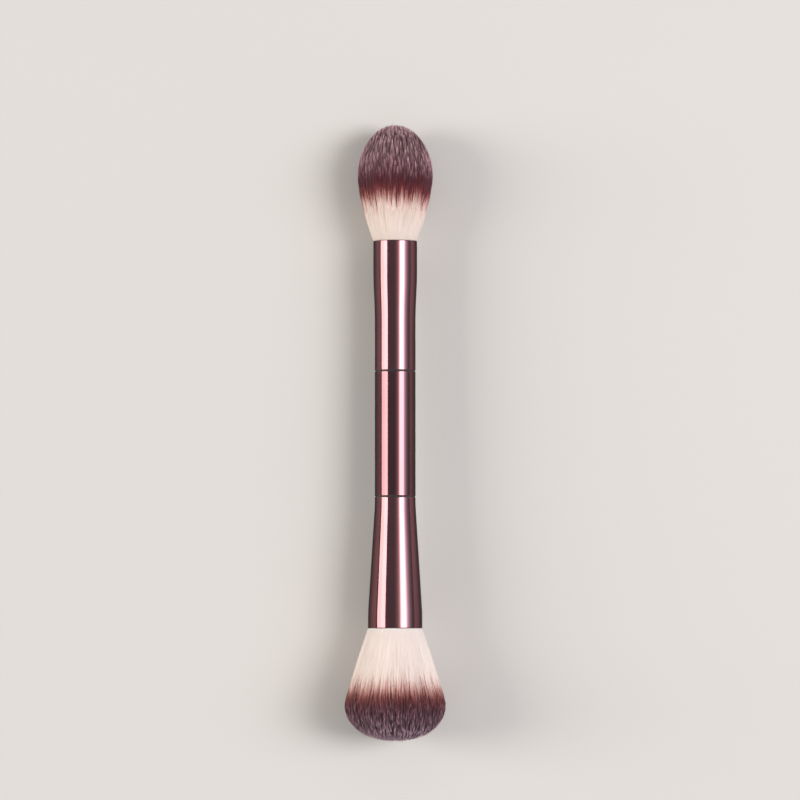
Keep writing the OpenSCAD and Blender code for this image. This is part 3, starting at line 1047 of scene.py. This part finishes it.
def map_fibres(mesh, end, layout, past, left, level, corner):
    """Maps each fibre of the mesh, with its tone and the painted highlight near its end as U, and
    its place along the dye as V.
    """
    s = end.sizes
    # The dye line lies elsewhere at the sides than in front, and is ragged from fibre to fibre
    uneven = s.dye_side * np.sin(layout["turn"]) ** 6 + s.dye_rag * layout["dye"]
    dyed = past + uneven[:, None] * np.clip(past / DYE_WHOLE, 0, 1)
    v = end.dye_place(np.minimum(dyed, s.length + MAP_TIP))
    # The painted highlight near each fibre's end, fading from 0.35 mm to 1.5 mm short of it
    pale = layout["pale"][:, None] * np.clip(HIGHLIGHT_SOLID - left / HIGHLIGHT_RUN, 0, 1)
    u = DARKEST + TONES * np.clip(layout["tone"][:, None] + pale, 0, 1)
    # The three corners of a ring lie a little apart, so that every face has some width on the map
    apart = np.round((corner / math.tau % 1) * 3) % 3 - 1
    v = v + (level == 0) * apart * ROOT_STEP
    u = u + CORNER_STEP * apart[None, :]
    at = np.empty(len(mesh.loops), np.int32)
    mesh.loops.foreach_get("vertex_index", at)
    both = np.stack([np.broadcast_to(u, v.shape).ravel()[at], v.ravel()[at]], axis=1)
    mesh.uv_layers[BAKE_MAP].data.foreach_set("uv", both.astype(np.float32).ravel())
    mesh.update()


def make_tuft(context, end, pieces, dye, seed):
    """Makes all the fibre pieces of one tuft."""
    brush, fibres = Brush(context.scene), context.scene.brush_fibres
    layout = fibre_layout(end, fibres, pieces, seed)
    material = dyed_nylon(f"dyed_{end.name}_nylon", end, dye)
    for i in range(pieces):
        name = f"{end.name}_fibres_{i + 1}"
        mesh = fibre_mesh(name, fibres.per_piece)
        own_layout = {key: row[i::pieces] for key, row in layout.items()}
        map_fibres(mesh, end, own_layout, *lay(mesh, brush, end, own_layout))
        new_piece(name, mesh, material, f"{end.name}_fibres", f"{end.name}_tuft")


class BRUSH_OT_pointed_tuft(Operator):
    """Grows the fibres of the pointed tuft"""

    bl_idname = "brush.pointed_tuft"
    bl_label = "Pointed Tuft"

    def execute(self, context):
        end, pieces = Brush(context.scene).pointed, context.scene.brush_fibres.pointed_pieces
        make_tuft(context, end, pieces, POINTED_DYE, seed=4)
        return {"FINISHED"}


class BRUSH_OT_domed_tuft(Operator):
    """Grows the fibres of the domed tuft"""

    bl_idname = "brush.domed_tuft"
    bl_label = "Domed Tuft"

    def execute(self, context):
        end, pieces = Brush(context.scene).domed, context.scene.brush_fibres.domed_pieces
        make_tuft(context, end, pieces, DOMED_DYE, seed=9)
        return {"FINISHED"}


# Two long soft boxes, one to each side, which the handle mirrors as its two streaks. Each has
# (angle across the brush, from straight up towards its left side, brightness, tint)
LEFT_BOX = (
    (43.2, 1.0, "#fbfbf2"),
    (61.0, 1.0, "#fbfbf2"),
    (64.0, 0.84, "#f9f8e8"),
    (81.5, 0.81, "#f9f8e8"),
)
RIGHT_BOX = (
    (-84.0, 0.0, "#d8e6ee"),
    (-76.8, 0.02, "#d8e6ee"),
    (-70.0, 0.055, "#d8e6ee"),
    (-63.2, 0.14, "#d8e6ee"),
    (-56.8, 0.28, "#d8e6ee"),
    (-50.6, 0.54, "#e0ecf2"),
    (-46.5, 1.0, "#ffffff"),
    (-26.5, 1.0, "#ffffff"),
    (-22.0, 0.34, "#f8f2e4"),
    (-17.0, 0.14, "#f4ecd8"),
    (-11.0, 0.05, "#f4ecd8"),
    (-4.0, 0.02, "#f4ecd8"),
    (3.0, 0.0, "#f4ecd8"),
)
LEFT_RADIANCE, RIGHT_RADIANCE = 9.2, 11.5  # what a mirror would show of each box's brightest part
BOX_ALONG = (-7, 14)  # angles along the brush between which it sees both boxes
FLOOR_HALF = 8.0  # half of the floor's side, in metres
SENSOR, LENS = 36.0, 215.0  # in millimetres, as the camera takes them
CLIP = (0.05, 50.0)  # nearest and furthest that the camera sees, in metres
CAMERA_OVER = -49.9 * MM  # place along the brush that the camera is straight above
AIM_ALONG, AIM_ASIDE = 9.3 * MM, -1.39 * MM  # what it looks at, along the brush and to its side


def place_with_axes(ob, x, y, z, spot):
    """Puts a lamp or the camera at a spot, with its own axes along x, y and z."""
    ob.matrix_world = Matrix([[x[i], y[i], z[i], spot[i]] for i in range(3)] + [[0, 0, 0, 1]])


def lamp(name, distance, radiance, profile):
    """One of the soft boxes, as a flat lamp that faces the brush."""
    across = (profile[0][0], profile[-1][0])
    middle = [math.radians(sum(pair) / 2) for pair in (across, BOX_ALONG)]
    halves = [math.radians(abs(pair[1] - pair[0]) / 2) for pair in (across, BOX_ALONG)]
    light = bpy.data.lights.new(name, "AREA")
    light.shape = "RECTANGLE"
    light.size = 2 * distance * math.tan(halves[1])
    light.size_y = 2 * distance * math.tan(halves[0])
    light.energy = radiance * math.pi * light.size * light.size_y
    light.use_nodes = True
    tree = light.node_tree
    stops = []
    for angle, strength, tint in profile:
        lean = math.radians(angle) - middle[0]
        place = 0.5 + math.tan(lean) / math.tan(halves[0]) / 2
        stops.append((min(max(place, 0.0), 1.0), [strength * c for c in linear(tint)[:3]] + [1.0]))
    spot = add(tree, "NewGeometry").outputs["Parametric"]
    across_box = add(tree, "SeparateXYZ", {"Vector": spot}).outputs["Y"]
    glow = add(tree, "ValToRGB", {"Fac": across_box}, stops)
    tree.links.new(glow.outputs["Color"], tree.nodes["Emission"].inputs["Color"])
    back = Vector(
        (
            math.sin(middle[1]),
            math.cos(middle[1]) * math.sin(middle[0]),
            math.cos(middle[1]) * math.cos(middle[0]),
        )
    )
    up = back.cross((1, 0, 0)).normalized()
    place_with_axes(new_object(name, light), up.cross(back), up, back, back * distance)


class BRUSH_OT_stage(Operator):
    """Sets the pale floor, the soft lamps and the camera"""

    bl_idname = "brush.stage"
    bl_label = "Stage"

    def execute(self, context):
        scene, brush, stage = context.scene, Brush(context.scene), context.scene.brush_stage
        bm = bmesh.new()
        bmesh.ops.create_grid(bm, x_segments=1, y_segments=1, size=FLOOR_HALF)
        floor = new_object("floor", to_mesh("floor", bm))
        floor.data.materials.append(painted_board("painted_board", tuple(stage.floor)))

        world = bpy.data.worlds.new("soft_surround")
        world.use_nodes = True
        world.node_tree.nodes["Background"].inputs["Color"].default_value = tuple(stage.surround)
        scene.world = world
        lamp("left_box", stage.lamp_distance, LEFT_RADIANCE, LEFT_BOX)
        lamp("right_box", stage.lamp_distance, RIGHT_RADIANCE, RIGHT_BOX)

        camera = bpy.data.cameras.new("camera")
        camera.sensor_width, camera.lens = SENSOR, LENS
        camera.clip_start, camera.clip_end = CLIP
        scene.camera = new_object("camera", camera)
        spot = Vector(brush.at(CAMERA_OVER, stage.camera_distance))
        aim = Vector(brush.at(AIM_ALONG, 0.0)) + Vector((0, AIM_ASIDE, 0))
        back = (spot - aim).normalized()
        right = Vector((1, 0, 0)).cross(back).normalized()
        place_with_axes(scene.camera, right, back.cross(right), back, spot)
        scene.view_settings.view_transform = "Standard"
        return {"FINISHED"}


SETTINGS = {
    "brush_metal": MetalSettings,
    "brush_pointed": PointedEnd,
    "brush_domed": DomedEnd,
    "brush_fibres": FibreSettings,
    "brush_stage": StageSettings,
}
STEPS = (
    BRUSH_OT_centre_tube,
    BRUSH_OT_ferrules,
    BRUSH_OT_inner_parts,
    BRUSH_OT_tuft_cores,
    BRUSH_OT_pointed_tuft,
    BRUSH_OT_domed_tuft,
    BRUSH_OT_stage,
)


class BRUSH_PT_panel(Panel):
    """Lists the brush's settings and the steps that build it"""

    bl_idname = "BRUSH_PT_panel"
    bl_label = "Makeup Brush"
    bl_space_type = "VIEW_3D"
    bl_region_type = "UI"
    bl_category = "Brush"

    def draw(self, context):
        for group, kind in SETTINGS.items():
            box = self.layout.box()
            box.label(text=group.removeprefix("brush_").capitalize())
            for name in kind.__annotations__:
                box.prop(getattr(context.scene, group), name)
        for step in STEPS:
            self.layout.operator(step.bl_idname)


CLASSES = (*SETTINGS.values(), *STEPS, BRUSH_PT_panel)


def register():
    """Registers all classes, and gives the scene their settings."""
    for kind in CLASSES:
        bpy.utils.register_class(kind)
    for name, kind in SETTINGS.items():
        setattr(bpy.types.Scene, name, PointerProperty(type=kind))


def unregister():
    """Takes the settings and all classes away again."""
    for name in SETTINGS:
        delattr(bpy.types.Scene, name)
    for kind in reversed(CLASSES):
        bpy.utils.unregister_class(kind)


def main():
    """Builds the brush and its stage."""
    register()
    for step in STEPS:
        category, name = step.bl_idname.split(".")
        getattr(getattr(bpy.ops, category), name)()


if __name__ == "__main__":
    main()
